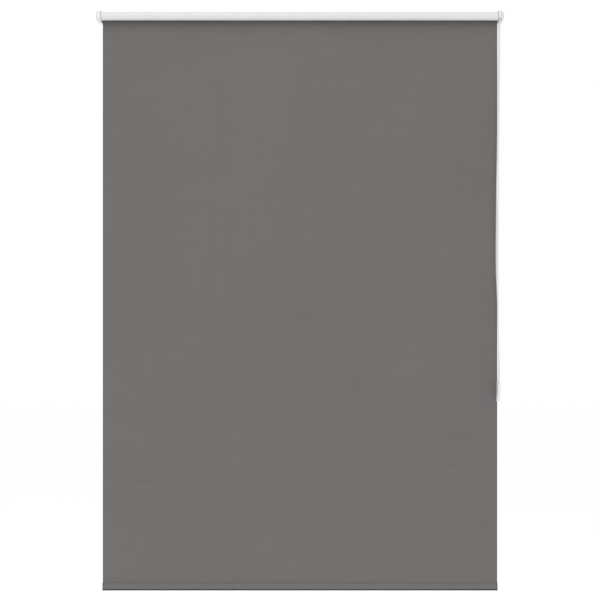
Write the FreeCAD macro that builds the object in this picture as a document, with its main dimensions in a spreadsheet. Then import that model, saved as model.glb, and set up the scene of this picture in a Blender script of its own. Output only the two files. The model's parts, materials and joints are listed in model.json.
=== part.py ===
"""Chain-driven roller blind, 1016 mm cloth with a 1478 mm drop.

X runs along the roller tube towards the chain end, +Y runs into the wall and +Z is up.
The origin lies on the wall plane, midway between the four wall screws. Millimetres.
"""
import FreeCAD, Part
import math
import os

import Sketcher

Vector = FreeCAD.Vector
DOC = FreeCAD.newDocument("roller_blind")
SHEET = DOC.addObject("Spreadsheet::Sheet", "sizes")

DRIVING = {
    "axis_to_wall": 32.0,
    "cloth_width": 1016.4,
    "cloth_thick": 0.45,
    "drop": 1477.6,
    "tube_radius": 11.0,
    "tube_wall": 1.0,
    "tube_left": -510.0,
    "tube_right": 508.3,
    "unit_radius": 14.2,
    "cover_wall": 1.5,
    "cover_round": 6.5,
    "arm_thick": 1.5,
    "screw_column": 509.5,
    "screw_rise": 8.0,
    "screw_radius": 1.75,
    "screw_reach": 28.0,
    "hole_radius": 2.1,
    "chain_x": 511.3,
    "chain_radius": 2.25,
    "bead_pitch": 6.0,
    "chain_exit": 10.0,
    "shaft_radius": 5.0,
    "running_gap": 0.08,
    "pin_radius": 3.0,
    "hem_tall": 20.0,
    "hem_bar_thick": 4.0,
    "tensioner_x": 508.95,
    "tensioner_from_wall": 35.6,
    "tensioner_drop": 962.0,
    "tensioner_tilt": 1.5,
    "tensioner_thick": 7.2,
}
WHEEL_POCKETS = 10
GUIDE_POCKETS = 8


class Size:
    """A number together with the sheet expression that it comes from."""

    def __init__(self, value, text):
        self.value = value
        self.text = text

    def _with(self, other, sign, value):
        text = other.text if isinstance(other, Size) else repr(float(other))
        return Size(value, f"({self.text} {sign} {text})")

    def __add__(self, other):
        return self._with(other, "+", self.value + number(other))

    def __sub__(self, other):
        return self._with(other, "-", self.value - number(other))

    def __mul__(self, other):
        return self._with(other, "*", self.value * number(other))

    def __truediv__(self, other):
        return self._with(other, "/", self.value / number(other))

    def __rsub__(self, other):
        return Size(number(other) - self.value, f"({float(other)!r} - {self.text})")

    def __neg__(self):
        return Size(-self.value, f"(-{self.text})")


def number(size):
    return size.value if isinstance(size, Size) else float(size)


def bind(thing, prop, size):
    """Ties one property of a document object to the sheet, if its size comes from there."""
    if isinstance(size, Size):
        thing.setExpression(prop, size.text)


for row, (alias, value) in enumerate(DRIVING.items(), 1):
    SHEET.set(f"A{row}", alias)
    SHEET.set(f"B{row}", str(value))
    SHEET.setAlias(f"B{row}", alias)
DOC.recompute()
S = {alias: Size(value, f"sizes.{alias}") for alias, value in DRIVING.items()}

CLOTH_EDGE = S["cloth_width"] / 2
TUBE_BORE = S["tube_radius"] - S["tube_wall"]
WALL = S["axis_to_wall"]
WRAP_INNER = S["tube_radius"] + 0.18
WRAP_OUTER = WRAP_INNER + S["cloth_thick"]
SHEET_FRONT = WRAP_OUTER + 0.3
SHEET_REAR = SHEET_FRONT + S["cloth_thick"]
HEM_Y = SHEET_FRONT + S["cloth_thick"] / 2
HEM_TOP = S["hem_tall"] - S["drop"]
HEM_PLAY = 0.05
GROOVE = S["chain_radius"] + 0.3
# the circle through the bead centres on a wheel is set by the pitch and the number of seats
WHEEL_PITCH_RADIUS = S["bead_pitch"] / (2 * math.sin(math.pi / WHEEL_POCKETS))
GUIDE_PITCH_RADIUS = S["bead_pitch"] / (2 * math.sin(math.pi / GUIDE_POCKETS))

# the stack at the chain end, from the tube outwards
GUARD_INNER = CLOTH_EDGE + 0.4
HUB_END = S["tube_right"] - 35
SHAFT_END = HUB_END - 0.2
DISC_INNER = S["chain_x"] + 2.7
DISC_OUTER = DISC_INNER + 2.5
ARM_OUTER = DISC_OUTER + S["arm_thick"]
COVER_OUTER = DISC_OUTER + 6.6
# the clutch's two hooks and the bracket slots they pass through
HOOK_HALF, HOOK_NEAR, HOOK_FAR, HOOK_PLAY = 2.0, 5.2, 8.2, 0.3
# the drive hub's slots for the chain wheel's two fingers
FINGER_NEAR, FINGER_FAR = 6.2, 8.5
# the wall flange reaches this far towards the tube from its screws
FLANGE_HALF = 7.8
# the stack at the idler end, from the tube outwards
FLANGE_OUTER = S["tube_left"] - 1.2
ARM_INNER = -CLOTH_EDGE - 7.9
COVER_END = ARM_INNER - 6.6
LEFT_RIM = S["tube_left"] - 0.8


# ---------------------------------------------------------------- helpers
def put(thing, x=0.0, y=0.0, z=0.0, rotation=None):
    """Places an object and keeps the place tied to the sheet."""
    place = Vector(number(x), number(y), number(z))
    thing.Placement = FreeCAD.Placement(place, rotation or FreeCAD.Rotation())
    for axis, size in zip("xyz", (x, y, z)):
        bind(thing, f"Placement.Base.{axis}", size)
    return thing


def on_tube_axis(thing):
    return put(thing, y=-WALL)


def new_body(label):
    body = DOC.addObject("PartDesign::Body", label)
    body.Label = label
    return body


def sketch_on(body, role, offset):
    """A sketch on one of the body's own origin planes, moved along the plane's normal."""
    sketch = body.newObject("Sketcher::SketchObject", f"{body.Label}_sketch")
    plane = next(f for f in body.Origin.OriginFeatures if f.Role == role)
    sketch.AttachmentSupport = [(plane, "")]
    sketch.MapMode = "FlatFace"
    sketch.AttachmentOffset = FreeCAD.Placement(Vector(0, 0, number(offset)), FreeCAD.Rotation())
    bind(sketch, "AttachmentOffset.Base.z", offset)
    return sketch


def dimension(sketch, size, kind, *where):
    index = sketch.addConstraint(Sketcher.Constraint(kind, *where, number(size)))
    bind(sketch, f"Constraints[{index}]", size)


def circle(sketch, radius, across=0.0, up=0.0):
    centre = Vector(number(across), number(up), 0)
    index = sketch.addGeometry(Part.Circle(centre, Vector(0, 0, 1), number(radius)), False)
    dimension(sketch, radius, "Radius", index)
    dimension(sketch, across, "DistanceX", -1, 1, index, 3)
    dimension(sketch, up, "DistanceY", -1, 1, index, 3)


def outline(sketch, corners, arcs=None):
    """A closed outline through corners (across, up).

    arcs gives {index of the arc's first corner: (centre across, centre up, turns anticlockwise)}.
    Every other side is straight.
    """
    arcs = arcs or {}
    first = sketch.GeometryCount
    count = len(corners)
    spots = [Vector(number(a), number(b), 0) for a, b in corners]
    starts, ends = [], []
    for i in range(count):
        here, there = spots[i], spots[(i + 1) % count]
        if i in arcs:
            across, up, anticlockwise = arcs[i]
            centre = Vector(number(across), number(up), 0)
            turn = [math.atan2(p.y - centre.y, p.x - centre.x) for p in (here, there)]
            round_part = Part.Circle(centre, Vector(0, 0, 1), (here - centre).Length)
            low, high = turn if anticlockwise else turn[::-1]
            sketch.addGeometry(Part.ArcOfCircle(round_part, low, high), False)
            starts.append(1 if anticlockwise else 2)
            ends.append(2 if anticlockwise else 1)
        else:
            sketch.addGeometry(Part.LineSegment(here, there), False)
            starts.append(1)
            ends.append(2)
    for i in range(count):
        after = (i + 1) % count
        joint = ("Coincident", first + i, ends[i], first + after, starts[after])
        sketch.addConstraint(Sketcher.Constraint(*joint))
    for i, (across, up) in enumerate(corners):
        dimension(sketch, across, "DistanceX", -1, 1, first + i, starts[i])
        dimension(sketch, up, "DistanceY", -1, 1, first + i, starts[i])
    for i, (across, up, _) in arcs.items():
        chord = spots[(i + 1) % count] - spots[i]
        kind, size = ("DistanceX", across) if abs(chord.x) < abs(chord.y) else ("DistanceY", up)
        dimension(sketch, size, kind, -1, 1, first + i, 3)


def pad(body, sketch, length, reverse=False):
    feature = body.newObject("PartDesign::Pad", f"{body.Label}_pad")
    feature.Profile = sketch
    feature.Length = number(length)
    bind(feature, "Length", length)
    feature.Reversed = reverse
    DOC.recompute()
    return feature


def pocket(body, sketch, length, reverse=True):
    """Cuts along the sketch's normal when reverse is true. Stops if it takes nothing away."""
    before = body.Shape.Volume
    feature = body.newObject("PartDesign::Pocket", f"{body.Label}_pocket")
    feature.Profile = sketch
    feature.Length = number(length)
    bind(feature, "Length", length)
    feature.Reversed = reverse
    DOC.recompute()
    if not body.Shape.Volume < before - 0.01:
        raise ValueError(f"{feature.Label} cuts nothing")
    return feature


def fillet(body, feature, radius, wanted):
    """Rounds the edges of a feature that the function wanted picks."""
    edges = [f"Edge{i}" for i, e in enumerate(feature.Shape.Edges, 1) if wanted(e.BoundBox)]
    rounding = body.newObject("PartDesign::Fillet", f"{body.Label}_fillet")
    rounding.Base = (feature, edges)
    rounding.Radius = number(radius)
    bind(rounding, "Radius", radius)
    DOC.recompute()
    return rounding


def ring_pattern(body, feature, count):
    """Repeats a feature evenly about the body's X axis."""
    axis = next(f for f in body.Origin.OriginFeatures if f.Role == "X_Axis")
    pattern = body.newObject("PartDesign::PolarPattern", f"{body.Label}_ring")
    pattern.Originals = [feature]
    pattern.Axis = (axis, [""])
    pattern.Angle = 360
    pattern.Occurrences = count
    body.Tip = pattern
    DOC.recompute()
    return pattern


def rod(name, radius, low, high, y=0.0, z=0.0):
    """A cylinder along X from low to high."""
    solid = DOC.addObject("Part::Cylinder", name)
    length = high - low
    solid.Radius, solid.Height = number(radius), number(length)
    bind(solid, "Radius", radius)
    bind(solid, "Height", length)
    return put(solid, low, y, z, FreeCAD.Rotation(Vector(0, 1, 0), 90))


def block(name, low, high):
    """A box between two corners."""
    solid = DOC.addObject("Part::Box", name)
    for prop, a, b in zip(("Length", "Width", "Height"), low, high):
        size = b - a
        setattr(solid, prop, number(size))
        bind(solid, prop, size)
    return put(solid, *low)


def groove_ring(name, major, minor, x):
    solid = DOC.addObject("Part::Torus", name)
    solid.Radius1, solid.Radius2 = number(major), number(minor)
    bind(solid, "Radius1", major)
    bind(solid, "Radius2", minor)
    return put(solid, x, rotation=FreeCAD.Rotation(Vector(0, 1, 0), 90))


def fused(name, *solids):
    whole = DOC.addObject("Part::MultiFuse", name)
    whole.Shapes = list(solids)
    return whole


def cut(name, base, *tools):
    """base less every tool. Stops if a tool takes nothing away."""
    DOC.recompute()
    for tool in tools:
        if base.Shape.common(tool.Shape).Volume < 0.001:
            raise ValueError(f"{tool.Label} cuts nothing from {name}")
    whole = DOC.addObject("Part::Cut", name)
    whole.Base = base
    whole.Tool = tools[0] if len(tools) == 1 else fused(f"{name}_tools", *tools)
    return whole


def tube_along(name, points, radius):
    """A round tube along straight runs joined by tangent arcs."""
    spots = [Vector(*p) for p in points]
    edges, radii = [], []
    at = spots[0]
    for before, corner, after in zip(spots, spots[1:], spots[2:]):
        into, out = corner - before, after - corner
        half = into.getAngle(out) / 2
        tangent = 0.45 * min(into.Length, out.Length)
        radii.append(tangent / math.tan(half))
        into.normalize()
        out.normalize()
        first, last = corner - into * tangent, corner + out * tangent
        inward = (out - into).normalize()
        middle = corner + inward * radii[-1] * (1 / math.cos(half) - 1)
        edges += [Part.makeLine(at, first), Part.Arc(first, middle, last).toShape()]
        at = last
    edges.append(Part.makeLine(at, spots[-1]))
    path = Part.Wire(edges)
    start = Part.Wire(Part.makeCircle(radius, spots[0], spots[1] - spots[0]))
    solid = path.makePipeShell([start], True, False)
    share = solid.Volume / (math.pi * radius**2 * path.Length)
    bends = sorted({round(bend, 1) for bend in radii})
    print(f"{name}: {path.Length:.1f} mm long, volume share {share:.4f}, bend radii {bends}")
    tube = DOC.addObject("Part::Feature", name)
    tube.Shape = solid
    return tube


# ---------------------------------------------------------------- tube and cloth
def roller_tube():
    body = new_body("roller_tube")
    length = S["tube_right"] - S["tube_left"]
    wall = sketch_on(body, "YZ_Plane", S["tube_left"])
    circle(wall, S["tube_radius"])
    circle(wall, TUBE_BORE)
    pad(body, wall, length)
    key = sketch_on(body, "YZ_Plane", S["tube_left"])
    half, low, high = 0.75, -TUBE_BORE - 0.4, -TUBE_BORE + 1.2
    outline(key, [(-half, low), (half, low), (half, high), (-half, high)])
    pad(body, key, length)
    return on_tube_axis(body)


def round_tube(radius, degrees):
    """A spot (across, up) about the tube axis. Degrees count from the front, over the top."""
    angle = math.radians(degrees)
    return (radius * -math.cos(angle), radius * math.sin(angle))


def arc_band(body, inner, outer, first, last, low, width):
    """A band about the tube axis between two angles in degrees."""
    corners = [
        round_tube(inner, first),
        round_tube(outer, first),
        round_tube(outer, last),
        round_tube(inner, last),
    ]
    band = sketch_on(body, "YZ_Plane", low)
    outline(band, corners, {1: (0, 0, False), 3: (0, 0, True)})
    return pad(body, band, width)


def cloth_wrap():
    """The first half turn of cloth, which stays on the tube."""
    body = new_body("cloth_wrap")
    first, last = 96, 276
    arc_band(body, WRAP_INNER, WRAP_OUTER, first, last, -CLOTH_EDGE, S["cloth_width"])
    return on_tube_axis(body)


def cloth_tape():
    """Double-sided tape between the tube and the start of the cloth."""
    body = new_body("cloth_tape")
    inner, outer = S["tube_radius"] + 0.01, S["tube_radius"] + 0.17
    first, last, margin = 100, 175, 4
    arc_band(body, inner, outer, first, last, margin - CLOTH_EDGE, S["cloth_width"] - 2 * margin)
    return on_tube_axis(body)


def cloth_sheet():
    """The hanging cloth, with the lead that follows the rear of the tube up to its top."""
    body = new_body("cloth_sheet")
    lead_end = 105
    corners = [
        (SHEET_FRONT, HEM_TOP),
        (SHEET_REAR, HEM_TOP),
        (SHEET_REAR, 0),
        round_tube(SHEET_REAR, lead_end),
        round_tube(SHEET_FRONT, lead_end),
        (SHEET_FRONT, 0),
    ]
    profile = sketch_on(body, "YZ_Plane", -CLOTH_EDGE)
    outline(profile, corners, {2: (0, 0, True), 4: (0, 0, False)})
    pad(body, profile, S["cloth_width"])
    return on_tube_axis(body)


# ---------------------------------------------------------------- hem
def racetrack(sketch, half_thick, low, high):
    """A tall slot shape about the cloth's plane, with full round ends."""
    left, right = HEM_Y - half_thick, HEM_Y + half_thick
    bottom, top = low + half_thick, high - half_thick
    outline(
        sketch,
        [(left, bottom), (right, bottom), (right, top), (left, top)],
        {0: (HEM_Y, bottom, True), 2: (HEM_Y, top, True)},
    )


def hem_slab(label, outer, inner, low_x, length):
    """A bar of racetrack section. outer and inner are each (half thickness, low z, high z)."""
    body = new_body(label)
    section = sketch_on(body, "YZ_Plane", low_x)
    racetrack(section, *outer)
    if inner:
        racetrack(section, *inner)
    pad(body, section, length)
    return body


def hem_layer(depth):
    """The slot shape that lies the stated depth inside the hem's outside."""
    half_thick = S["hem_bar_thick"] / 2 + S["cloth_thick"] + HEM_PLAY - depth
    return (half_thick, depth - S["drop"], HEM_TOP - depth)


def hem():
    """The cloth sleeve along the bottom, the hollow bar in it and a plugged cap at each end."""
    bar_at = S["cloth_thick"] + HEM_PLAY
    bar_wall, cap_play, cap_proud, cap_thick, tongue_long = 0.8, 0.05, 0.3, 0.7, 18.0
    bar_end = CLOTH_EDGE - 0.5
    width = S["cloth_width"]

    sleeve = hem_slab("hem_pocket", hem_layer(0), hem_layer(S["cloth_thick"]), -CLOTH_EDGE, width)
    bar = hem_slab("hem_bar", hem_layer(bar_at), hem_layer(bar_at + bar_wall), -bar_end, bar_end * 2)
    pieces = [on_tube_axis(sleeve), on_tube_axis(bar)]
    for label, side in (("hem_cap_left", -1), ("hem_cap_right", 1)):
        face = CLOTH_EDGE * side
        low = face if side > 0 else face - cap_thick
        body = hem_slab(label, hem_layer(-cap_proud), None, low, cap_thick)
        tongue = sketch_on(body, "YZ_Plane", face)
        racetrack(tongue, *hem_layer(bar_at + bar_wall + cap_play))
        body.Tip = pad(body, tongue, tongue_long, reverse=side > 0)
        pieces.append(on_tube_axis(body))
    return pieces


# ---------------------------------------------------------------- brackets and covers
def bullet(sketch, radius, back):
    """The side view of an end unit: round in front of the tube axis, straight back to the wall."""
    corners = [(0, radius), (0, -radius), (back, -radius), (back, radius)]
    outline(sketch, corners, {0: (0, 0, True)})


def bracket(label, side):
    """A steel angle: an arm beside the end of the tube, and a flange on the wall with two holes."""
    body = new_body(label)
    clear_of_cover = 0.3
    radius = S["unit_radius"] - S["cover_wall"] - clear_of_cover
    inner = DISC_OUTER if side > 0 else ARM_INNER - S["arm_thick"]
    arm = sketch_on(body, "YZ_Plane", inner)
    bullet(arm, radius, WALL)
    pad(body, arm, S["arm_thick"])

    back = sketch_on(body, "XZ_Plane", -WALL)
    outer_edge = ARM_OUTER if side > 0 else ARM_INNER - S["arm_thick"]
    inner_edge = (S["screw_column"] - FLANGE_HALF) * side
    edges = (inner_edge, outer_edge) if side > 0 else (outer_edge, inner_edge)
    outline(back, [(edges[0], -radius), (edges[1], -radius), (edges[1], radius), (edges[0], radius)])
    pad(body, back, S["arm_thick"])

    holes = sketch_on(body, "XZ_Plane", -WALL - 1)
    for sign in (-1, 1):
        circle(holes, S["hole_radius"], S["screw_column"] * side, S["screw_rise"] * sign)
    pocket(body, holes, S["arm_thick"] + 2)

    openings = sketch_on(body, "YZ_Plane", inner - 1)
    if side > 0:
        half, near, far = HOOK_HALF + HOOK_PLAY, HOOK_NEAR - HOOK_PLAY, HOOK_FAR + HOOK_PLAY
        for low, high in ((near, far), (-far, -near)):
            outline(openings, [(-half, low), (half, low), (half, high), (-half, high)])
    else:
        circle(openings, S["pin_radius"] + S["running_gap"])
    pocket(body, openings, S["arm_thick"] + 2)
    return on_tube_axis(body)


def domed_bullet(label, open_end, domed_end, inset):
    """A bullet-shaped block between two X planes, with the edges of its domed end rounded."""
    body = new_body(label)
    forward = number(domed_end) > number(open_end)
    low, high = (open_end, domed_end) if forward else (domed_end, open_end)
    profile = sketch_on(body, "YZ_Plane", low)
    bullet(profile, S["unit_radius"] - inset, WALL)
    solid = pad(body, profile, high - low)
    face, wall = number(domed_end), number(WALL)

    def on_dome(box):
        return abs(box.XMin - face) < 0.01 and abs(box.XMax - face) < 0.01 and box.YMin < wall - 1

    fillet(body, solid, S["cover_round"] - inset, on_dome)
    return body


def cover(label, open_end, domed_end):
    """A plastic cap over a bracket's arm, open towards the tube and towards the wall."""
    wall = S["cover_wall"]
    inner_end = domed_end - wall if number(domed_end) > 0 else domed_end + wall
    outside = domed_bullet(f"{label}_outside", open_end, domed_end, 0)
    inside = domed_bullet(f"{label}_inside", open_end, inner_end, wall)
    return on_tube_axis(cut(label, outside, inside))


def turned_body(label, corners, arcs, axis):
    """A profile turned once round one of its sketch's own axes."""
    body = new_body(label)
    profile = sketch_on(body, "XY_Plane", 0)
    outline(profile, corners, arcs)
    turned = body.newObject("PartDesign::Revolution", f"{label}_turned")
    turned.Profile = profile
    turned.ReferenceAxis = (profile, [axis])
    turned.Angle = 360
    return body


def wall_screws():
    """Four pan-head screws through the bracket flanges into the wall."""
    seat = WALL - S["arm_thick"] - 0.01
    tip = WALL + S["screw_reach"]
    shank = S["screw_radius"]
    neck, head = shank + 0.2, shank * 2
    corners = [
        (0, seat - 2.2),
        (head - 1.2, seat - 2.2),
        (head, seat - 0.8),
        (head, seat),
        (neck, seat),
        (neck, WALL),
        (shank, WALL),
        (shank, tip - 4),
        (0, tip),
    ]
    solids = []
    for column in (-1, 1):
        for rise in (-1, 1):
            body = turned_body(f"screw_{len(solids) + 1}", corners, {}, "V_Axis")
            put(body, S["screw_column"] * column, -WALL, S["screw_rise"] * rise)
            solids.append(body)
    group = DOC.addObject("Part::Compound", "wall_screws")
    group.Links = solids
    return group


# ---------------------------------------------------------------- chain end
def chain_wheel(label, pitch_radius, half_width, pockets, bore, rim, x):
    """A grooved wheel with a seat for each bead."""
    blank = rod(f"{label}_blank", rim, x - half_width, x + half_width)
    seat_radius = GROOVE + 0.35
    seats = []
    for i in range(pockets):
        angle = 2 * math.pi * i / pockets
        seat = DOC.addObject("Part::Sphere", f"{label}_seat_{i + 1}")
        seat.Radius = number(seat_radius)
        bind(seat, "Radius", seat_radius)
        put(seat, x, pitch_radius * math.cos(angle), pitch_radius * math.sin(angle))
        seats.append(seat)
    groove = groove_ring(f"{label}_groove", pitch_radius, GROOVE, x)
    hole = rod(f"{label}_bore", bore, x - half_width - 1, x + half_width + 1)
    return cut(label, blank, groove, hole, *seats)


def sprocket():
    """The chain wheel, with two fingers that reach into the drive hub."""
    bore, rim, half_width = S["shaft_radius"] + S["running_gap"], 8.9, 2.4
    x = S["chain_x"]
    wheel = chain_wheel("sprocket_wheel", WHEEL_PITCH_RADIUS, half_width, WHEEL_POCKETS, bore, rim, x)
    inner_face = x - half_width
    near, far = FINGER_NEAR + 0.6, FINGER_FAR - 0.2
    fingers = []
    for name, low, high in (("front", -far, -near), ("rear", near, far)):
        corners = (inner_face - 7, low, -1.3), (inner_face + 0.6, high, 1.3)
        fingers.append(block(f"sprocket_finger_{name}", *corners))
    return on_tube_axis(fused("sprocket", wheel, *fingers))


def hub_sleeve(label, low, high, rib_low, rib_length):
    """A sleeve that fits the tube: eight ribs touch the bore and a channel clears its key."""
    body = new_body(label)
    sleeve = sketch_on(body, "YZ_Plane", low)
    circle(sleeve, TUBE_BORE - 0.5)
    pad(body, sleeve, high - low)
    rib = sketch_on(body, "YZ_Plane", rib_low)
    inside, outside = TUBE_BORE - 0.8, TUBE_BORE - 0.04
    outline(rib, [(inside, -0.6), (outside, -0.6), (outside, 0.6), (inside, 0.6)])
    rib_pad = pad(body, rib, rib_length)
    ring_pattern(body, rib_pad, 8)
    channel = sketch_on(body, "YZ_Plane", low - 1)
    half, bottom, top = 1.1, -TUBE_BORE - 0.2, -TUBE_BORE + 1.5
    outline(channel, [(-half, bottom), (half, bottom), (half, top), (-half, top)])
    body.Tip = pocket(body, channel, high - low + 2)
    return body


def drive_hub():
    """Carries the tube and turns on the clutch shaft. Its bore holds the wrap springs."""
    low, high = HUB_END, S["tube_right"] + 0.3
    body = hub_sleeve("hub_sleeve", low, high, low + 2, 32.0)
    stop = rod("hub_stop", S["tube_radius"] - 0.1, S["tube_right"] + 0.03, high)
    spring_room = rod("hub_spring_room", 6.5, low + 2, high + 1)
    journal = rod("hub_journal", S["shaft_radius"] + S["running_gap"], low - 1, low + 3)
    slots = []
    for name, a, b in (("front", -FINGER_FAR, -FINGER_NEAR), ("rear", FINGER_NEAR, FINGER_FAR)):
        slots.append(block(f"hub_slot_{name}", (high - 8, a, -1.5), (high + 1, b, 1.5)))
    solid = fused("hub_solid", body, stop)
    return on_tube_axis(cut("drive_hub", solid, spring_room, journal, *slots))


def wrap_spring(label, low, coils):
    """A close-wound spring round the shaft; its touching coils are one ribbed ring."""
    wire = 1.2
    inner = S["shaft_radius"] + 0.05
    outer = inner + 0.7
    high = low + coils * wire
    crests = [(high - wire * i, outer) for i in range(coils + 1)]
    rounds = {i + 2: (high - wire * (i + 0.5), outer - 0.25, True) for i in range(coils)}
    return on_tube_axis(turned_body(label, [(low, inner), (high, inner)] + crests, rounds, "H_Axis"))


def clutch_core():
    """The fixed part: a disc on the bracket's arm, a shaft into the tube and two hooks."""
    disc = rod("core_disc", S["unit_radius"] - 0.6, DISC_INNER, DISC_OUTER)
    shaft = rod("core_shaft", S["shaft_radius"], SHAFT_END, DISC_OUTER)
    thread = rod("core_thread", 1.55, SHAFT_END - 1, SHAFT_END + 15)
    lip_at, lip_end, lip_out = ARM_OUTER + 0.3, ARM_OUTER + 1.6, HOOK_FAR + 2
    hooks = []
    for name, stem, lip in (
        ("upper", (HOOK_NEAR, HOOK_FAR), (HOOK_NEAR, lip_out)),
        ("lower", (-HOOK_FAR, -HOOK_NEAR), (-lip_out, -HOOK_NEAR)),
    ):
        stem_corners = (DISC_OUTER - 0.5, -HOOK_HALF, stem[0]), (lip_at, HOOK_HALF, stem[1])
        lip_corners = (lip_at, -HOOK_HALF, lip[0]), (lip_end, HOOK_HALF, lip[1])
        hooks.append(block(f"core_stem_{name}", *stem_corners))
        hooks.append(block(f"core_lip_{name}", *lip_corners))
    return on_tube_axis(cut("clutch_core", fused("core_solid", disc, shaft, *hooks), thread))


def clutch_screw():
    """A washer-head screw that keeps the drive hub on the shaft."""
    head = rod("clutch_screw_head", 6.4, SHAFT_END - 1.6, SHAFT_END - 0.02)
    shank = rod("clutch_screw_shank", 1.5, SHAFT_END - 0.5, SHAFT_END + 13)
    slot = block("clutch_screw_slot", (SHAFT_END - 2, -5, -0.5), (SHAFT_END - 0.9, 5, 0.5))
    return on_tube_axis(cut("clutch_screw", fused("clutch_screw_solid", head, shank), slot))


def chain_guard():
    """A ring over the chain wheel, open below where the two strands leave."""
    reach = S["unit_radius"] - 1.6
    mouth_reach = reach - 0.2
    low, high = GUARD_INNER - 1, DISC_INNER + 1
    drum = rod("guard_drum", S["unit_radius"], GUARD_INNER, DISC_INNER)
    room = rod("guard_room", reach, low, high)
    mouth = block("guard_mouth", (low, -mouth_reach, -16.0), (high, mouth_reach, -3.5))
    return on_tube_axis(cut("chain_guard", rounded_rim("guard_blank", drum, 0.9), room, mouth))


def rounded_rim(name, drum, radius):
    """Rounds the rim of the guard's tube side."""
    DOC.recompute()
    inner = number(GUARD_INNER)
    rims = [i for i, e in enumerate(drum.Shape.Edges, 1) if e.BoundBox.XMax < inner + 0.01]
    rounding = DOC.addObject("Part::Fillet", name)
    rounding.Base = drum
    rounding.Edges = [(i, radius, radius) for i in rims]
    return rounding


# ---------------------------------------------------------------- idler end
def idler_plug():
    """Carries the tube's left end, turns on the pin and holds the pin's spring."""
    low, high = S["tube_left"], S["tube_left"] + 28
    body = hub_sleeve("plug_sleeve", low - 0.6, high, low + 0.5, 26.0)
    flange = rod("plug_flange", S["tube_radius"], FLANGE_OUTER, low - 0.03)
    bore = rod("plug_bore", S["pin_radius"] + S["running_gap"], FLANGE_OUTER - 1, low + 5)
    room = rod("plug_room", 5.7, low + 4, high + 1)
    return on_tube_axis(cut("idler_plug", fused("plug_solid", body, flange), bore, room))


def idler_pin():
    """The sprung pin that drops into the bracket's hole. A collar stops it inside the plug."""
    collar = S["tube_left"] + 4.2
    nose_at, nose_long = ARM_INNER - 3.6, 1.2
    shank = rod("pin_shank", S["pin_radius"], nose_at, collar + 1)
    nose = DOC.addObject("Part::Cone", "pin_nose")
    nose.Radius1, nose.Radius2, nose.Height = 1.8, number(S["pin_radius"]), nose_long
    bind(nose, "Radius2", S["pin_radius"])
    put(nose, nose_at - nose_long, rotation=FreeCAD.Rotation(Vector(0, 1, 0), 90))
    ring = rod("pin_collar", 5.3, collar, collar + 2)
    tail = rod("pin_tail", 2.4, collar + 1, collar + 9)
    return on_tube_axis(fused("idler_pin", nose, shank, ring, tail))


def idler_spring():
    """A compression spring between the pin's collar and the retainer."""
    wire, mean, turns, per_turn, length = 0.45, 4.2, 7, 10, 18.6
    steps = turns * per_turn
    route = []
    for i in range(steps + 1):
        angle = 2 * math.pi * i / per_turn
        route.append((length * i / steps, mean * math.cos(angle), mean * math.sin(angle)))
    return put(tube_along("idler_spring", route, wire), S["tube_left"] + 6.8, -WALL)


def spring_retainer():
    """A disc pressed into the plug behind the spring."""
    low = S["tube_left"] + 26
    return rod("spring_retainer", 5.65, low, low + 1.8, -WALL)


# ---------------------------------------------------------------- chain
# down the front strand, round the small wheel and up the rear strand
CHAIN_ROUTE = [
    (511.3, -41.71, -10.0),
    (511.2, -41.73, -38.0),
    (510.95, -41.77, -84.0),
    (510.25, -41.85, -144.0),
    (509.3, -41.95, -206.0),
    (508.8, -42.08, -268.0),
    (508.1, -42.2, -330.0),
    (507.7, -42.3, -392.0),
    (507.6, -42.45, -452.0),
    (507.2, -42.55, -512.0),
    (507.15, -42.7, -574.0),
    (506.85, -42.8, -636.0),
    (506.8, -42.95, -698.0),
    (507.1, -43.05, -758.0),
    (507.6, -43.2, -812.0),
    (508.3, -43.3, -852.0),
    (509.3, -43.36, -886.0),
    (510.5, -43.42, -914.0),
    (509.6, -43.45, -937.0),
    (509.13, -43.43, -955.0),
    (508.87, -43.44, -965.25),
    (508.75, -38.85, -969.84),
    (508.75, -32.35, -969.84),
    (508.87, -27.76, -965.25),
    (509.13, -27.77, -955.0),
    (509.6, -27.75, -937.0),
    (510.7, -27.7, -912.0),
    (510.9, -27.6, -880.0),
    (510.3, -27.5, -838.0),
    (509.4, -27.4, -784.0),
    (508.4, -27.3, -732.0),
    (506.4, -27.2, -684.0),
    (504.9, -27.1, -634.0),
    (504.9, -27.0, -580.0),
    (505.5, -26.85, -526.0),
    (506.0, -26.7, -470.0),
    (506.7, -26.5, -416.0),
    (507.65, -26.3, -366.0),
    (508.5, -26.1, -308.0),
    (509.1, -25.9, -246.0),
    (509.4, -25.6, -184.0),
    (510.1, -25.4, -122.0),
    (511.0, -24.6, -76.0),
    (511.2, -23.05, -36.0),
    (511.3, -22.29, -10.0),
]


def chain_turn():
    """The chain over the top of the chain wheel, between the two ends of the free loop."""
    pitch, low = number(WHEEL_PITCH_RADIUS), -number(S["chain_exit"])
    across = number(S["chain_radius"])
    front = Part.makeLine(Vector(0, -pitch, low), Vector(0, -pitch, 0))
    over = Part.Arc(Vector(0, -pitch, 0), Vector(0, 0, pitch), Vector(0, pitch, 0)).toShape()
    rear = Part.makeLine(Vector(0, pitch, 0), Vector(0, pitch, low))
    start = Part.Wire(Part.makeCircle(across, Vector(0, -pitch, low), Vector(0, 0, 1)))
    turn = DOC.addObject("Part::Feature", "chain_turn")
    turn.Shape = Part.Wire([front, over, rear]).makePipeShell([start], True, False)
    return put(turn, S["chain_x"], -WALL)


# ---------------------------------------------------------------- tensioner, about its wheel's centre
HALF = S["tensioner_thick"] / 2
TENSIONER_TOP = 21.0
FIXING_HOLE = (6.0, -20.5)
JOINT_SCREW = (0.0, 15.2)


def place_tensioner(piece):
    tilt = FreeCAD.Rotation(Vector(0, 1, 0), number(S["tensioner_tilt"]))
    return put(piece, S["tensioner_x"], -S["tensioner_from_wall"], -S["tensioner_drop"], tilt)


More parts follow.
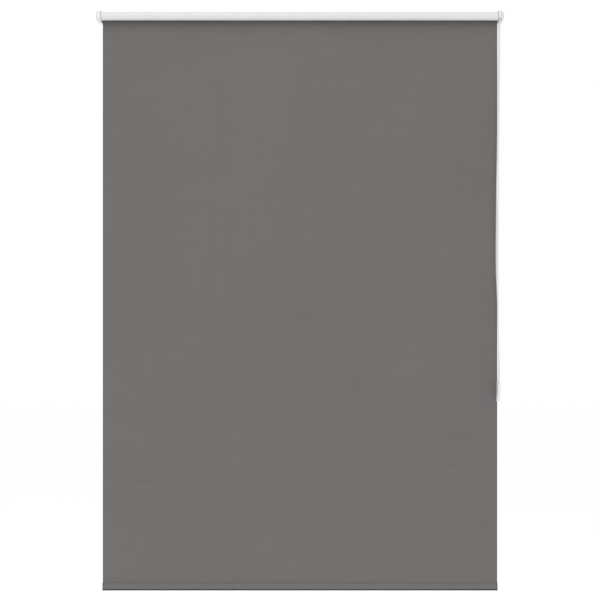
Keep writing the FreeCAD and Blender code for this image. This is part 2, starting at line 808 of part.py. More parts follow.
def tensioner_slab(name, low, high):
    """The side view of the tensioner: square above, with a rounded tail at the wall side."""
    body = new_body(name)
    side = sketch_on(body, "YZ_Plane", low)
    outline(
        side,
        [(12.4, TENSIONER_TOP), (-12.4, TENSIONER_TOP), (-12.4, -9.0), (1.5, -27.4),
         (6.0, -28.0), (12.4, -21.6)],
        {4: (6.0, -21.6, True)},
    )
    slab = pad(body, side, high - low)

    def upper_corner(box):
        return box.YLength < 0.01 and box.ZMin > -10 and box.XLength > 0.5

    fillet(body, slab, 1.5, upper_corner)
    return body


def tensioner_holes(name, low, high):
    """The axle's bore and the fixing screw's hole, through the stated thickness."""
    return [
        rod(f"{name}_axle_bore", 2.03, low, high),
        rod(f"{name}_fixing_hole", 2.0, low, high, *FIXING_HOLE),
    ]


def strand_holes(name):
    """The two openings in the shell's top, one for each strand."""
    holes = []
    for side in (-1, 1):
        hole = DOC.addObject("Part::Cylinder", f"{name}_strand_{side + 2}")
        hole.Radius, hole.Height = 2.75, 4
        holes.append(put(hole, 0, GUIDE_PITCH_RADIUS * side, TENSIONER_TOP - 3))
    return holes


def tensioner():
    """Two half shells round a small chain wheel on its axle."""
    lid_at = HALF - 1.0
    shell = tensioner_slab("tensioner_shell", -HALF, lid_at)
    channel = block("tensioner_channel", (-2.6, -10.7, 0), (2.7, 10.7, TENSIONER_TOP - 1.6))
    well = rod("tensioner_well", 10.7, -2.6, 2.7)
    island = block("tensioner_island", (-3, -4.4, 11.2), (3, 4.4, TENSIONER_TOP))
    room = cut("tensioner_room", fused("tensioner_cavity", channel, well), island)
    joint_bore = rod("tensioner_joint_bore", 0.95, -1.5, HALF, *JOINT_SCREW)
    shell_holes = tensioner_holes("shell", -HALF - 1, lid_at + 1)
    body = cut("tensioner_body", shell, room, joint_bore, *shell_holes, *strand_holes("shell"))

    plate = tensioner_slab("tensioner_plate", lid_at, HALF)
    lid_bore = rod("lid_joint_bore", 1.25, lid_at - 1, HALF + 1, *JOINT_SCREW)
    sink = rod("lid_joint_sink", 2.1, HALF - 0.55, HALF + 1, *JOINT_SCREW)
    lid_holes = tensioner_holes("lid", lid_at - 1, HALF + 1)
    lid = cut("tensioner_lid", plate, lid_bore, sink, *lid_holes)

    screw_head = rod("joint_screw_head", 2.0, HALF - 0.5, HALF - 0.02, *JOINT_SCREW)
    screw_shank = rod("joint_screw_shank", 0.9, -1.4, HALF - 0.3, *JOINT_SCREW)
    screw = fused("tensioner_screw", screw_head, screw_shank)
    axle_shank = rod("axle_shank", 2.0, -HALF - 0.2, HALF)
    axle_head = rod("axle_head", 3.2, -HALF - 0.7, -HALF - 0.02)
    axle = fused("tensioner_axle", axle_shank, axle_head)
    half_width, bore, rim = 2.3, 2.08, 7.2
    wheel = chain_wheel("tensioner_wheel", GUIDE_PITCH_RADIUS, half_width, GUIDE_POCKETS, bore, rim, 0)
    return [place_tensioner(piece) for piece in (body, lid, screw, axle, wheel)]


# ---------------------------------------------------------------- assembly
PIECES = [
    roller_tube(),
    cloth_wrap(),
    cloth_tape(),
    cloth_sheet(),
    *hem(),
    bracket("bracket_left", -1),
    bracket("bracket_right", 1),
    cover("cover_left", LEFT_RIM, COVER_END),
    cover("cover_right", DISC_OUTER, COVER_OUTER),
    wall_screws(),
    sprocket(),
    drive_hub(),
    wrap_spring("wrap_spring_inner", S["tube_right"] - 31.0, 9),
    wrap_spring("wrap_spring_outer", S["tube_right"] - 18.5, 9),
    clutch_core(),
    clutch_screw(),
    chain_guard(),
    idler_plug(),
    idler_pin(),
    idler_spring(),
    spring_retainer(),
    tube_along("bead_chain", CHAIN_ROUTE, number(S["chain_radius"])),
    chain_turn(),
    *tensioner(),
]
DOC.recompute()

for thing in DOC.Objects:
    if "Invalid" in thing.State or "Error" in thing.State:
        raise ValueError(f"{thing.Label} is {thing.State}")
for piece in PIECES:
    if piece.Shape.isNull() or not piece.Shape.isValid():
        raise ValueError(f"{piece.Label} has no valid shape")

os.makedirs("parts", exist_ok=True)
for piece in PIECES:
    piece.Shape.exportStep(f"parts/{piece.Label}.step")
    print(f"{piece.Label}: {len(piece.Shape.Solids)} solid(s), {piece.Shape.Volume:.1f} mm3")
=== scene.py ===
import json
import math

import bmesh
import bpy
import numpy as np
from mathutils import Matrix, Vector


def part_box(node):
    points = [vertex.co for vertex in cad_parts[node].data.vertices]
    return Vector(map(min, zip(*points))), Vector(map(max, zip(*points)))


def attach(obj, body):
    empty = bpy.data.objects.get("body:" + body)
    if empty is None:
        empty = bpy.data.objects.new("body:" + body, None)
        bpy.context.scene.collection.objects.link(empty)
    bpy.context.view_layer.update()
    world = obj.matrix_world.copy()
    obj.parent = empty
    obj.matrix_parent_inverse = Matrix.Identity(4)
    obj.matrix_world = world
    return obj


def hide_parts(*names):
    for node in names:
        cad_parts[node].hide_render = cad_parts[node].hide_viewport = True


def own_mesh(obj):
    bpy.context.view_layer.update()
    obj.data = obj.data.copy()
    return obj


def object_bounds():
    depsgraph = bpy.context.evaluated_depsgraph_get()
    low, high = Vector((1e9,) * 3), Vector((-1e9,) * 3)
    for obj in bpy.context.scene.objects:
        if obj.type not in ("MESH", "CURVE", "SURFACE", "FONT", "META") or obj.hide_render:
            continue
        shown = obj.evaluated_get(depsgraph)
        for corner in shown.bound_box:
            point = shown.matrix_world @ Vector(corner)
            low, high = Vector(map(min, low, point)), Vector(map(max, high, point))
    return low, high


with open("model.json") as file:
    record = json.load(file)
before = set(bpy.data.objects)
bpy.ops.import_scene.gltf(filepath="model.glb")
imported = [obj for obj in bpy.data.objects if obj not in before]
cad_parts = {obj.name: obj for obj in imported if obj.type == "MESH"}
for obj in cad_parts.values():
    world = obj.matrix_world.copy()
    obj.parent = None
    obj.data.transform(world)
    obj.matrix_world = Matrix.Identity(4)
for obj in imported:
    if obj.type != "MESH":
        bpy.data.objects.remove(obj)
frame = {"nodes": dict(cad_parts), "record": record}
cad_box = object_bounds()

RECORD = frame["record"]
JOINTS = {joint["name"]: joint for joint in RECORD["behaviour"]["joints"]}
SLOTS = {part["node"]: part["material_slot"] for part in RECORD["subparts"]}
COLOURS = {m["slot"]: tuple(m["base_color"]) for m in RECORD["materials"]}
AXIS = Vector(JOINTS["tube_roll"]["pos_m"])
SCENE = bpy.context.scene


# ---------------------------------------------------------------- camera
# the view's width is taken in the plane of the tube's axis
CAMERA_FROM_AXIS = 3.07
CAMERA_HEIGHT = -0.7287
VIEW_WIDTH = 1.5408
SENSOR_WIDTH = 36.0
camera_data = bpy.data.cameras.new("camera")
camera = bpy.data.objects.new("camera", camera_data)
SCENE.collection.objects.link(camera)
camera.location = (0.0, AXIS.y - CAMERA_FROM_AXIS, CAMERA_HEIGHT)
camera.rotation_euler = (math.radians(90), 0, 0)
camera_data.sensor_width = SENSOR_WIDTH
camera_data.lens = SENSOR_WIDTH * CAMERA_FROM_AXIS / VIEW_WIDTH
SCENE.camera = camera


# ---------------------------------------------------------------- mesh helpers
def new_piece(name, data, body, material):
    piece = bpy.data.objects.new(name, data)
    SCENE.collection.objects.link(piece)
    data.materials.append(material)
    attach(piece, body)
    return piece


def mesh_from(name, vertices, faces, smooth=True):
    data = bpy.data.meshes.new(name)
    data.from_pydata([tuple(v) for v in vertices], [], faces)
    data.polygons.foreach_set("use_smooth", [smooth] * len(data.polygons))
    data.update()
    return data


def face_outwards(data, crease_deg=50):
    """Turns a closed mesh's faces outwards and keeps its folds sharp."""
    mesh = bmesh.new()
    mesh.from_mesh(data)
    bmesh.ops.recalc_face_normals(mesh, faces=mesh.faces)
    mesh.to_mesh(data)
    mesh.free()
    data.set_sharp_from_angle(angle=math.radians(crease_deg))
    return data


# ---------------------------------------------------------------- node helpers
class Nodes:
    """A material's node tree, with short calls for the nodes that this scene uses."""

    def __init__(self, name):
        self.material = bpy.data.materials.new(name)
        self.material.use_nodes = True
        self.tree = self.material.node_tree
        self.shader = self.tree.nodes["Principled BSDF"]
        self.where = self.tree.nodes.new("ShaderNodeTexCoord").outputs["Object"]

    def set(self, **values):
        for name, value in values.items():
            socket = self.shader.inputs[name.replace("_", " ")]
            socket.default_value = (*value, 1) if isinstance(value, tuple) else value

    def link(self, value, socket):
        if isinstance(value, bpy.types.NodeSocket):
            self.tree.links.new(value, socket)
        else:
            socket.default_value = value

    def math(self, operation, *values):
        node = self.tree.nodes.new("ShaderNodeMath")
        node.operation = operation
        for socket, value in zip(node.inputs, values):
            self.link(value, socket)
        return node.outputs[0]

    def axes(self):
        node = self.tree.nodes.new("ShaderNodeSeparateXYZ")
        self.link(self.where, node.inputs[0])
        return node.outputs

    def scaled(self, scale):
        node = self.tree.nodes.new("ShaderNodeVectorMath")
        node.operation = "MULTIPLY"
        self.link(self.where, node.inputs[0])
        node.inputs[1].default_value = scale
        return node.outputs[0]

    def noise(self, scale, detail=3.0, roughness=0.5, at=None):
        node = self.tree.nodes.new("ShaderNodeTexNoise")
        self.link(at or self.where, node.inputs["Vector"])
        node.inputs["Scale"].default_value = scale
        node.inputs["Detail"].default_value = detail
        node.inputs["Roughness"].default_value = roughness
        return node.outputs["Fac"]

    def span(self, value, low, high, to_low=0.0, to_high=1.0):
        node = self.tree.nodes.new("ShaderNodeMapRange")
        self.link(value, node.inputs["Value"])
        ends = {"From Min": low, "From Max": high, "To Min": to_low, "To Max": to_high}
        for name, number in ends.items():
            node.inputs[name].default_value = number
        return node.outputs[0]

    def mix(self, factor, first, second):
        node = self.tree.nodes.new("ShaderNodeMix")
        node.data_type = "RGBA"
        self.link(factor, node.inputs["Factor"])
        for socket, colour in ((node.inputs["A"], first), (node.inputs["B"], second)):
            self.link((*colour, 1) if isinstance(colour, tuple) else colour, socket)
        return node.outputs["Result"]

    def bump(self, height, strength, distance, before=None):
        node = self.tree.nodes.new("ShaderNodeBump")
        node.inputs["Strength"].default_value = strength
        node.inputs["Distance"].default_value = distance
        self.link(height, node.inputs["Height"])
        if before is not None:
            self.link(before, node.inputs["Normal"])
        return node.outputs["Normal"]

    def edges(self, radius):
        """1 along the edges and 0 on the faces, from how far a bevel of this radius turns the normal."""
        bevel = self.tree.nodes.new("ShaderNodeBevel")
        bevel.samples = 4
        bevel.inputs["Radius"].default_value = radius
        geometry = self.tree.nodes.new("ShaderNodeNewGeometry")
        dot = self.tree.nodes.new("ShaderNodeVectorMath")
        dot.operation = "DOT_PRODUCT"
        self.link(bevel.outputs[0], dot.inputs[0])
        self.link(geometry.outputs["Normal"], dot.inputs[1])
        return self.span(dot.outputs["Value"], 1.0, 0.8), bevel.outputs[0]

    def finish(self, colour=None, roughness=None, normal=None):
        for value, name in ((colour, "Base Color"), (roughness, "Roughness"), (normal, "Normal")):
            if value is not None:
                self.link(value, self.shader.inputs[name])
        return self.material


def shade(colour, factor):
    return tuple(c * factor for c in colour)


# ---------------------------------------------------------------- materials
YARN_PITCH = 0.00042
# how flat the top of each yarn is where it crosses another
YARN_CROWN = 0.35
# the cut sides are sealed over this width; the hem's folded bottom is painted darker over this height, as
# painted shade of its round underside
SEALED_SIDE, SIDE_FADE, SIDE_SHARE = 0.0016, 0.0008, 0.77
UNDERSIDE_SHADE_HEIGHT, UNDERSIDE_SHADE_FADE, UNDERSIDE_SHADE_SHARE = 0.0039, 0.0006, 0.95
# the darker tone of the sealed sides, also used for the painted shade on the hem's underside
SEALED_EDGE_AND_SHADE_TONE = 0.3


def cloth_material(name, half_width, bottom=None):
    """Plain woven polyester: alternate yarns over and under, uneven weft and warp, sealed side edges,
    painted shade in the weave's dips and painted light on its crowns, and, where bottom is given, painted
    shade along the hem's underside.
    """
    n = Nodes(name)
    base = COLOURS["cloth_grey"]
    x, _, z = n.axes()
    across = n.math("SINE", n.math("MULTIPLY", x, math.pi / YARN_PITCH))
    along = n.math("SINE", n.math("MULTIPLY", z, math.pi / YARN_PITCH))
    crossing = n.math("MULTIPLY", across, along)
    warp_on_top = n.math("GREATER_THAN", crossing, 0.0)
    across_height = n.math("ABSOLUTE", across)
    along_height = n.math("ABSOLUTE", along)
    warp = n.math("MULTIPLY", across_height, n.math("POWER", along_height, YARN_CROWN))
    weft = n.math("MULTIPLY", along_height, n.math("POWER", across_height, YARN_CROWN))
    weave = n.math(
        "ADD", n.math("MULTIPLY", warp, warp_on_top),
        n.math("MULTIPLY", weft, n.math("SUBTRACT", 1.0, warp_on_top)),
    )
    weft_slubs = n.noise(1.0, 2.0, at=n.scaled((9.0, 9.0, 1500.0)))
    warp_slubs = n.noise(1.0, 2.0, at=n.scaled((1500.0, 9.0, 5.0)))
    fuzz = n.noise(4200.0, 2.0)
    patches = n.noise(3.0, 2.0)
    weft_uneven = n.span(weft_slubs, 0.3, 0.7, -0.5, 0.5)
    warp_uneven = n.span(warp_slubs, 0.3, 0.7, -0.35, 0.35)
    uneven = n.math("ADD", weft_uneven, warp_uneven)
    # besides the yarns' random unevenness, the weave's dips are painted darker as painted shade and its
    # crowns lighter as painted light
    tone_and_weave_shade = n.math("ADD", n.math("MULTIPLY", uneven, 0.14), n.span(weave, 0.0, 1.0, -0.10, 0.06))
    tone_and_weave_shade = n.math("ADD", tone_and_weave_shade, n.span(patches, 0.3, 0.7, -0.02, 0.02))
    colour = n.mix(n.span(tone_and_weave_shade, -0.25, 0.25), shade(base, 0.76), shade(base, 1.24))
    edge_from = half_width - SEALED_SIDE
    sealed_edge_and_shade = n.span(n.math("ABSOLUTE", x), edge_from, edge_from + SIDE_FADE, 0.0, SIDE_SHARE)
    # where bottom is given, the hem's lowest few millimetres are painted darker: painted shade of its
    # round underside
    if bottom is not None:
        fade_from = bottom + UNDERSIDE_SHADE_HEIGHT
        underside_shade = n.span(z, fade_from + UNDERSIDE_SHADE_FADE, fade_from, 0.0, UNDERSIDE_SHADE_SHARE)
        sealed_edge_and_shade = n.math("MAXIMUM", sealed_edge_and_shade, underside_shade)
    # the sealed sides get their darker tone, and the hem's underside its painted shade
    colour = n.mix(sealed_edge_and_shade, colour, shade(base, SEALED_EDGE_AND_SHADE_TONE))
    height = n.math("ADD", weave, n.math("MULTIPLY", fuzz, 0.35))
    height = n.math("ADD", height, n.math("MULTIPLY", uneven, 0.5))
    n.set(Sheen_Weight=0.12, Sheen_Roughness=0.45, Specular_IOR_Level=0.25)
    return n.finish(colour, n.span(weave, 0.0, 1.0, 0.95, 0.78), n.bump(height, 0.55, 0.00012))


def plastic_material(name, slot, rough, grain, worn=1.05, fine=2600.0, scuffs=0.04):
    """Moulded plastic: fine spark texture, faint flow marks, rounded edges polished by handling."""
    n = Nodes(name)
    base = COLOURS[slot]
    edge, rounded = n.edges(0.0005)
    marks = n.noise(60.0, 4.0, 0.6)
    specks = n.noise(fine, 2.0)
    colour = n.mix(n.span(marks, 0.35, 0.7), shade(base, 1.0), shade(base, 1.0 - scuffs))
    colour = n.mix(n.math("MULTIPLY", edge, 0.5), colour, shade(base, worn))
    polish = n.math("MULTIPLY", edge, -0.08)
    roughness = n.math("ADD", n.span(marks, 0.3, 0.7, rough - 0.05, rough + 0.06), polish)
    n.set(Specular_IOR_Level=0.45)
    return n.finish(colour, roughness, n.bump(specks, grain, 0.00003, rounded))


def metal_material(name, slot, rough, stretch, amount=0.12):
    """Drawn or turned metal, with fine lines along the given directions."""
    n = Nodes(name)
    base = COLOURS[slot]
    lines = n.noise(1.0, 3.0, 0.6, at=n.scaled(stretch))
    clouds = n.noise(90.0, 3.0)
    edge, rounded = n.edges(0.0003)
    colour = n.mix(n.span(lines, 0.3, 0.7), shade(base, 1.0 - amount), shade(base, 1.0 + amount * 0.5))
    colour = n.mix(n.math("MULTIPLY", edge, 0.35), colour, (0.92, 0.92, 0.93))
    cloudy = n.span(clouds, 0.3, 0.7, -0.04, 0.04)
    roughness = n.math("ADD", n.span(lines, 0.3, 0.7, rough - 0.08, rough + 0.08), cloudy)
    n.set(Metallic=1.0)
    return n.finish(colour, roughness, n.bump(lines, 0.15, 0.00002, rounded))


def enamel_material(name, slot, rough):
    """Stoved white enamel on metal: slight orange peel, soft gloss, paint thinner on the edges."""
    n = Nodes(name)
    base = COLOURS[slot]
    peel = n.noise(900.0, 2.0)
    clouds = n.noise(25.0, 3.0)
    edge, rounded = n.edges(0.0003)
    colour = n.mix(n.span(clouds, 0.3, 0.7), shade(base, 0.985), shade(base, 1.01))
    colour = n.mix(n.math("MULTIPLY", edge, 0.3), colour, shade(base, 0.86))
    roughness = n.span(clouds, 0.3, 0.7, rough - 0.04, rough + 0.05)
    n.set(Coat_Weight=0.15, Coat_Roughness=0.25, Specular_IOR_Level=0.4)
    return n.finish(colour, roughness, n.bump(peel, 0.10, 0.00004, rounded))


def tape_material(name, slot):
    """Double-sided tape: a clear film with small bubbles under it."""
    n = Nodes(name)
    base = COLOURS[slot]
    bubbles = n.noise(700.0, 2.0)
    colour = n.mix(n.span(bubbles, 0.45, 0.6), base, shade(base, 0.9))
    return n.finish(colour, n.span(bubbles, 0.3, 0.7, 0.35, 0.5), n.bump(bubbles, 0.2, 0.00003))


MATERIALS = {
    "tube_white": enamel_material("tube_enamel", "tube_white", 0.38),
    "cover_white": plastic_material("cover_plastic", "cover_white", 0.33, 0.12),
    "clutch_white": plastic_material("clutch_plastic", "clutch_white", 0.48, 0.2),
    "chain_white": plastic_material("chain_plastic", "chain_white", 0.3, 0.1),
    "bracket_steel": enamel_material("bracket_paint", "bracket_steel", 0.5),
    "spring_steel": metal_material("spring_wire", "spring_steel", 0.35, (900.0, 4000.0, 4000.0)),
    "zinc_steel": metal_material("zinc_plate", "zinc_steel", 0.4, (1500.0, 1500.0, 1500.0)),
    "tape_clear": tape_material("tape", "tape_clear"),
    "bar_aluminium": metal_material("bar_metal", "bar_aluminium", 0.42, (12.0, 5000.0, 5000.0)),
    "cap_grey": plastic_material("cap_plastic", "cap_grey", 0.55, 0.3, worn=1.5, scuffs=0.12),
}

for node, thing in frame["nodes"].items():
    if SLOTS[node] in MATERIALS:
        thing.data.materials.clear()
        thing.data.materials.append(MATERIALS[SLOTS[node]])


# ---------------------------------------------------------------- chain
BEAD_RADIUS = 0.00225
BEAD_PITCH = 0.006
# a bead is a little longer than it is wide
BEAD_STRETCH = 1.02
CORD_RADIUS = 0.0006
# one bead's outline as (height, radius), both in bead radii: necks at the holes and a parting line
BEAD_OUTLINE = [
    (-1.0, 0.30), (-0.93, 0.42), (-0.75, 0.69), (-0.45, 0.90), (-0.06, 1.0), (0.0, 0.975),
    (0.06, 1.0), (0.45, 0.90), (0.75, 0.69), (0.93, 0.42), (1.0, 0.30),
]
BEAD_SIDES = 14
# the free loop, down the front strand, round the small wheel and up the rear strand
ROUTE = [
    (0.5113, -0.04171, -0.01),
    (0.5112, -0.04173, -0.038),
    (0.51095, -0.04177, -0.084),
    (0.51025, -0.04185, -0.144),
    (0.5093, -0.04195, -0.206),
    (0.5088, -0.04208, -0.268),
    (0.5081, -0.0422, -0.33),
    (0.5077, -0.0423, -0.392),
    (0.5076, -0.04245, -0.452),
    (0.5072, -0.04255, -0.512),
    (0.50715, -0.0427, -0.574),
    (0.50685, -0.0428, -0.636),
    (0.5068, -0.04295, -0.698),
    (0.5071, -0.04305, -0.758),
    (0.5076, -0.0432, -0.812),
    (0.5083, -0.0433, -0.852),
    (0.5093, -0.04336, -0.886),
    (0.5105, -0.04342, -0.914),
    (0.5096, -0.04345, -0.937),
    (0.50913, -0.04343, -0.955),
    (0.50887, -0.04344, -0.96525),
    (0.50875, -0.03885, -0.96984),
    (0.50875, -0.03235, -0.96984),
    (0.50887, -0.02776, -0.96525),
    (0.50913, -0.02777, -0.955),
    (0.5096, -0.02775, -0.937),
    (0.5107, -0.0277, -0.912),
    (0.5109, -0.0276, -0.88),
    (0.5103, -0.0275, -0.838),
    (0.5094, -0.0274, -0.784),
    (0.5084, -0.0273, -0.732),
    (0.5064, -0.0272, -0.684),
    (0.5049, -0.0271, -0.634),
    (0.5049, -0.027, -0.58),
    (0.5055, -0.02685, -0.526),
    (0.506, -0.0267, -0.47),
    (0.5067, -0.0265, -0.416),
    (0.50765, -0.0263, -0.366),
    (0.5085, -0.0261, -0.308),
    (0.5091, -0.0259, -0.246),
    (0.5094, -0.0256, -0.184),
    (0.5101, -0.0254, -0.122),
    (0.511, -0.0246, -0.076),
    (0.5112, -0.02305, -0.036),
    (0.5113, -0.02229, -0.01),
]


def spline_points(points):
    """Points along the smooth line that has the given points as its controls."""
    data = bpy.data.curves.new("route", "CURVE")
    data.dimensions = "3D"
    spline = data.splines.new("NURBS")
    spline.points.add(len(points) - 1)
    for control, point in zip(spline.points, points):
        control.co = (*point, 1)
    spline.order_u = 3
    spline.use_endpoint_u = True
    spline.resolution_u = 24
    carrier = bpy.data.objects.new("route", data)
    SCENE.collection.objects.link(carrier)
    bpy.context.view_layer.update()
    line = bpy.data.meshes.new_from_object(carrier.evaluated_get(bpy.context.evaluated_depsgraph_get()))
    found = [vertex.co.copy() for vertex in line.vertices]
    bpy.data.objects.remove(carrier)
    bpy.data.meshes.remove(line)
    return found


def along(line, pitch):
    """Evenly spaced spots on a line, as near to the pitch as whole beads allow, with their directions."""
    spots = np.array(line)
    steps = np.linalg.norm(np.diff(spots, axis=0), axis=1)
    reach = np.concatenate([[0.0], np.cumsum(steps)])
    count = round(reach[-1] / pitch)
    wanted = np.linspace(0.0, reach[-1], count + 1)
    at = np.stack([np.interp(wanted, reach, spots[:, i]) for i in range(3)], axis=1)
    ways = np.gradient(at, axis=0)
    return [Vector(p) for p in at], [Vector(w).normalized() for w in ways], reach[-1]


def bead_strand(name, line, skip_ends):
    """Beads on a cord, with the cord between them as straight links."""
    spots, ways, length = along(line, BEAD_PITCH)
    mesh = bmesh.new()

    def tube(centre, way, profile):
        turn = way.to_track_quat("Z", "Y").to_matrix()
        loops = []
        for height, radius in profile:
            loop = []
            for k in range(BEAD_SIDES):
                angle = 2 * math.pi * k / BEAD_SIDES
                local = Vector((radius * math.cos(angle), radius * math.sin(angle), height))
                loop.append(mesh.verts.new(centre + turn @ local))
            loops.append(loop)
        for lower, upper in zip(loops, loops[1:]):
            for k in range(BEAD_SIDES):
                following = (k + 1) % BEAD_SIDES
                quad = (lower[k], lower[following], upper[following], upper[k])
                mesh.faces.new(quad).smooth = True
        mesh.faces.new(loops[0][::-1])
        mesh.faces.new(loops[-1])

    bead = [(BEAD_RADIUS * BEAD_STRETCH * h, BEAD_RADIUS * r) for h, r in BEAD_OUTLINE]
    beads = range(1, len(spots) - 1) if skip_ends else range(len(spots))
    for i in beads:
        tube(spots[i], ways[i], bead)
    for first, last in zip(spots, spots[1:]):
        half = (last - first).length / 2
        tube((first + last) / 2, (last - first).normalized(), [(-half, CORD_RADIUS), (half, CORD_RADIUS)])
    data = bpy.data.meshes.new(name)
    mesh.to_mesh(data)
    mesh.free()
    return data, length


loop_line = spline_points(ROUTE)
strand_data, strand_length = bead_strand("chain_beads", loop_line, True)
chain_beads = new_piece("chain_beads", strand_data, "root", MATERIALS["chain_white"])
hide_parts("bead_chain")

front, rear = Vector(ROUTE[0]), Vector(ROUTE[-1])
pitch_radius = (rear.y - front.y) / 2
TURN_STEPS = 64
over_wheel = [front]
for step in range(TURN_STEPS + 1):
    angle = math.pi * step / TURN_STEPS
    over_wheel.append(Vector((
        front.x, AXIS.y - pitch_radius * math.cos(angle), AXIS.z + pitch_radius * math.sin(angle),
    )))
over_wheel.append(rear)
turn_data, _ = bead_strand("turn_beads", over_wheel, False)
turn_beads = new_piece("turn_beads", turn_data, "root", MATERIALS["chain_white"])
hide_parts("chain_turn")


# ---------------------------------------------------------------- idler spring
COIL_TURNS = 8
COIL_WIRE = 0.00045


def coil_mesh(name, low, high, turns, wire):
    """A compression spring along X that fills a box, of round wire with closed end turns."""
    per_turn, sides = 28, 10
    mean = (high.z - low.z) / 2 - wire
    reach = high.x - low.x - 2 * wire
    closed = 2 * wire
    vertices, faces = [], []
    count = turns * per_turn + 1
    for step in range(count):
        turn = step / per_turn
        turn_ends = (0, 1, turns - 1, turns)
        x = low.x + wire + np.interp(turn, turn_ends, (0, closed, reach - closed, reach))
        angle = 2 * math.pi * turn
        out = Vector((0.0, math.cos(angle), math.sin(angle)))
        centre = Vector((x, AXIS.y, AXIS.z)) + mean * out
        for k in range(sides):
            round_wire = 2 * math.pi * k / sides
            offset = math.cos(round_wire) * out + Vector((math.sin(round_wire), 0, 0))
            vertices.append(centre + wire * offset)
    for step in range(count - 1):
        for k in range(sides):
            here, after = step * sides, (step + 1) * sides
            faces.append((here + k, here + (k + 1) % sides, after + (k + 1) % sides, after + k))
    faces.append(tuple(range(sides))[::-1])
    faces.append(tuple((count - 1) * sides + k for k in range(sides)))
    return mesh_from(name, vertices, faces)


spring_low, spring_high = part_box("idler_spring")
spring_data = coil_mesh("idler_coil", spring_low, spring_high, COIL_TURNS, COIL_WIRE)
spring = new_piece("idler_coil", spring_data, "pin", MATERIALS["spring_steel"])
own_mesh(spring)
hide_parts("idler_spring")


# ---------------------------------------------------------------- cloth
sheet_low, sheet_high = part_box("cloth_sheet")
wrap_low, wrap_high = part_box("cloth_wrap")
hem_low, hem_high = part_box("hem_pocket")
HALF_WIDTH = sheet_high.x
CLOTH_THICK = 0.00045
SHEET_REAR = sheet_high.y - AXIS.y
# degrees round the tube's axis, from the front over the top to the rear
LEAD_FROM, LEAD_TO = 105.0, 180.0
WRAP_FROM, WRAP_TO = 96.0, 276.0
cloth = cloth_material("cloth_weave", HALF_WIDTH)
# this copy also paints shade along the hem's underside
cloth_hem = cloth_material("cloth_weave_hem", HALF_WIDTH, bottom=hem_low.z)


def cloth_band(name, profile, columns):
    """A closed band of cloth. profile is its rear face's line, as (y, z, outward y, outward z)."""
    xs = np.linspace(-HALF_WIDTH, HALF_WIDTH, columns)
    vertices, faces = [], []
    rows = len(profile)
    for inset in (0.0, CLOTH_THICK):
        for y, z, out_y, out_z in profile:
            for x in xs:
                vertices.append((x, y - out_y * inset, z - out_z * inset))

    def at(side, row, column):
        return side * rows * columns + row * columns + column

    for row in range(rows - 1):
        for column in range(columns - 1):
            for side in (0, 1):
                quad = (at(side, row, column), at(side, row, column + 1),
                        at(side, row + 1, column + 1), at(side, row + 1, column))
                faces.append(quad if side else quad[::-1])
    border = [(0, c) for c in range(columns)]
    border += [(r, columns - 1) for r in range(1, rows)]
    border += [(rows - 1, c) for c in range(columns - 2, -1, -1)]
    border += [(r, 0) for r in range(rows - 2, 0, -1)]
    for (r0, c0), (r1, c1) in zip(border, border[1:] + border[:1]):
        faces.append((at(0, r0, c0), at(0, r1, c1), at(1, r1, c1), at(1, r0, c0)))
    return face_outwards(mesh_from(name, vertices, faces))


def ring_line(radius, first_deg, last_deg, steps):
    """Rows round the tube's axis, as cloth_band takes them."""
    rows = []
    for degrees in np.linspace(first_deg, last_deg, steps):
        angle = math.radians(degrees)
        out_y, out_z = -math.cos(angle), math.sin(angle)
        rows.append((AXIS.y + radius * out_y, AXIS.z + radius * out_z, out_y, out_z))
    return rows


lead_data = cloth_band("cloth_lead", ring_line(SHEET_REAR, LEAD_FROM, LEAD_TO, 40), 3)
lead = new_piece("cloth_lead", lead_data, "root", cloth)

hang = [(sheet_high.y, z, 1.0, 0.0) for z in np.linspace(0.0, sheet_low.z, 150)]
hang_data = cloth_band("cloth_hanging", hang, 102)
hanging = new_piece("cloth_hanging", hang_data, "root", cloth)
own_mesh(hanging)
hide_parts("cloth_sheet")

wrap_radius = wrap_high.y - AXIS.y
wrap_data = cloth_band("cloth_on_tube", ring_line(wrap_radius, WRAP_FROM, WRAP_TO, 80), 3)
wrap = new_piece("cloth_on_tube", wrap_data, "roll", cloth)
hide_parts("cloth_wrap")


def hem_rows(inset):
    """The hem's slot-shaped section, once round, as (y, z)."""
    half = (hem_high.y - hem_low.y) / 2 - inset
    centre = (hem_high.y + hem_low.y) / 2
    top, bottom = hem_high.z - inset - half, hem_low.z + inset + half
    bend_steps, side_steps = 12, 8
    rows = []
    for start, end, first_angle, side in ((top, bottom, 0.0, -half), (bottom, top, math.pi, half)):
        for k in range(bend_steps + 1):
            angle = first_angle + math.pi * k / bend_steps
            rows.append((centre + half * math.cos(angle), start + half * math.sin(angle)))
        for k in range(1, side_steps):
            rows.append((centre + side, start + (end - start) * k / side_steps))
    return rows


def hem_mesh():
    """The welded sleeve: the outside and inside of the loop of cloth, joined at both ends."""
    columns = 90
    xs = np.linspace(-HALF_WIDTH, HALF_WIDTH, columns)
    outer, inner = hem_rows(0.0), hem_rows(CLOTH_THICK)
    count = len(outer)
    vertices = [(x, y, z) for rows in (outer, inner) for x in xs for y, z in rows]

    def at(side, column, row):
        return side * columns * count + column * count + row % count

    faces = []
    for column in range(columns - 1):
        for row in range(count):
            for side in (0, 1):
                quad = (at(side, column, row), at(side, column, row + 1),
                        at(side, column + 1, row + 1), at(side, column + 1, row))
                faces.append(quad[::-1] if side else quad)
    for column in (0, columns - 1):
        for row in range(count):
            faces.append((at(0, column, row), at(1, column, row),
                          at(1, column, row + 1), at(0, column, row + 1)))
    return face_outwards(mesh_from("cloth_hem", vertices, faces))


hem = new_piece("cloth_hem", hem_mesh(), "hem", cloth_hem)
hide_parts("hem_pocket")


# ---------------------------------------------------------------- floor and light
FLOOR_HALF = 14.0
FLOOR_BELOW = 0.75
# the room's light: side walls against the rest, and how much more comes from high in front
SIDE_WALL = 0.45
FRONT_RISE = 0.4
LAMP_SIZE = (2.2, 1.6)
LAMP_POWER = 10.0


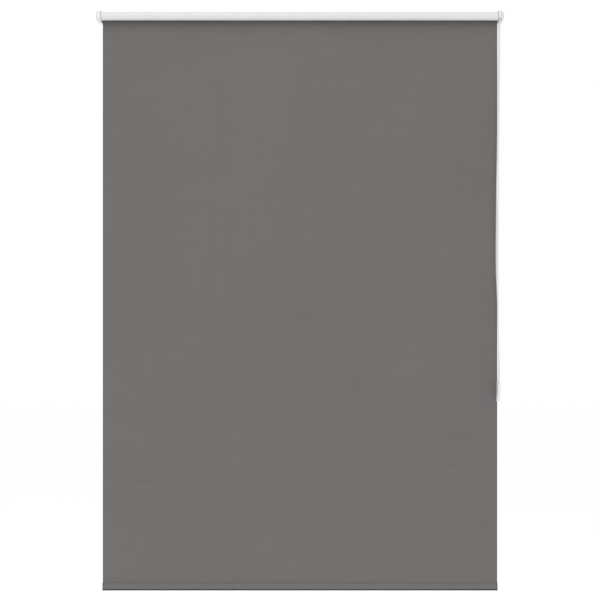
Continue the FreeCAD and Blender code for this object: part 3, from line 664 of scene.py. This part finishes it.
def floor():
    """A plain pale floor, well below the blind."""
    z = cad_box[0].z - FLOOR_BELOW
    corners = [
        (-FLOOR_HALF, -FLOOR_HALF, z), (FLOOR_HALF, -FLOOR_HALF, z),
        (FLOOR_HALF, FLOOR_HALF, z), (-FLOOR_HALF, FLOOR_HALF, z),
    ]
    piece = bpy.data.objects.new("floor", mesh_from("floor", corners, [(0, 1, 2, 3)]))
    SCENE.collection.objects.link(piece)
    n = Nodes("floor_paint")
    grain = n.noise(30.0, 3.0)
    colour = n.mix(n.span(grain, 0.3, 0.7), (0.925, 0.925, 0.925), (0.935, 0.935, 0.935))
    n.set(Roughness=0.9, Specular_IOR_Level=0.1, Emission_Color=(1.0, 1.0, 1.0), Emission_Strength=0.18)
    piece.data.materials.append(n.finish(colour))


def area_light(name, place, aim):
    data = bpy.data.lights.new(name, "AREA")
    data.shape = "RECTANGLE"
    data.size, data.size_y = LAMP_SIZE
    data.energy = LAMP_POWER
    light = bpy.data.objects.new(name, data)
    light.location = place
    light.rotation_euler = (Vector(aim) - Vector(place)).to_track_quat("-Z", "Y").to_euler()
    SCENE.collection.objects.link(light)


def studio():
    """A white room: dimmer towards its two side walls, brightest above the front."""
    world = bpy.data.worlds.new("studio")
    world.use_nodes = True
    tree = world.node_tree

    def node(kind, *values, operation=None, output=0):
        made = tree.nodes.new(kind)
        if operation:
            made.operation = operation
        for socket, value in zip(made.inputs, values):
            if isinstance(value, bpy.types.NodeSocket):
                tree.links.new(value, socket)
            else:
                socket.default_value = value
        return made.outputs[output]

    way = node("ShaderNodeTexCoord")
    axes = tree.nodes.new("ShaderNodeSeparateXYZ")
    tree.links.new(way, axes.inputs[0])
    x, y, z = axes.outputs
    sideways = node("ShaderNodeMath", x, operation="ABSOLUTE")
    walls = node("ShaderNodeMapRange", sideways, 0.28, 0.80, 1.0, SIDE_WALL)
    front = node("ShaderNodeMapRange", y, -0.1, -0.6, 0.0, FRONT_RISE)
    rise = node("ShaderNodeMath", z, front, operation="MULTIPLY")
    level = node("ShaderNodeMath", walls, rise, operation="ADD")
    tree.links.new(level, tree.nodes["Background"].inputs["Strength"])
    tree.nodes["Background"].inputs["Color"].default_value = (1.0, 1.0, 1.0, 1)
    SCENE.world = world


floor()
studio()
middle = (cad_box[0] + cad_box[1]) / 2
area_light("key", (-1.0, -2.2, 2.2), middle)
area_light("back", (0.8, 2.8, 1.6), middle)
SCENE.view_settings.view_transform = "Standard"
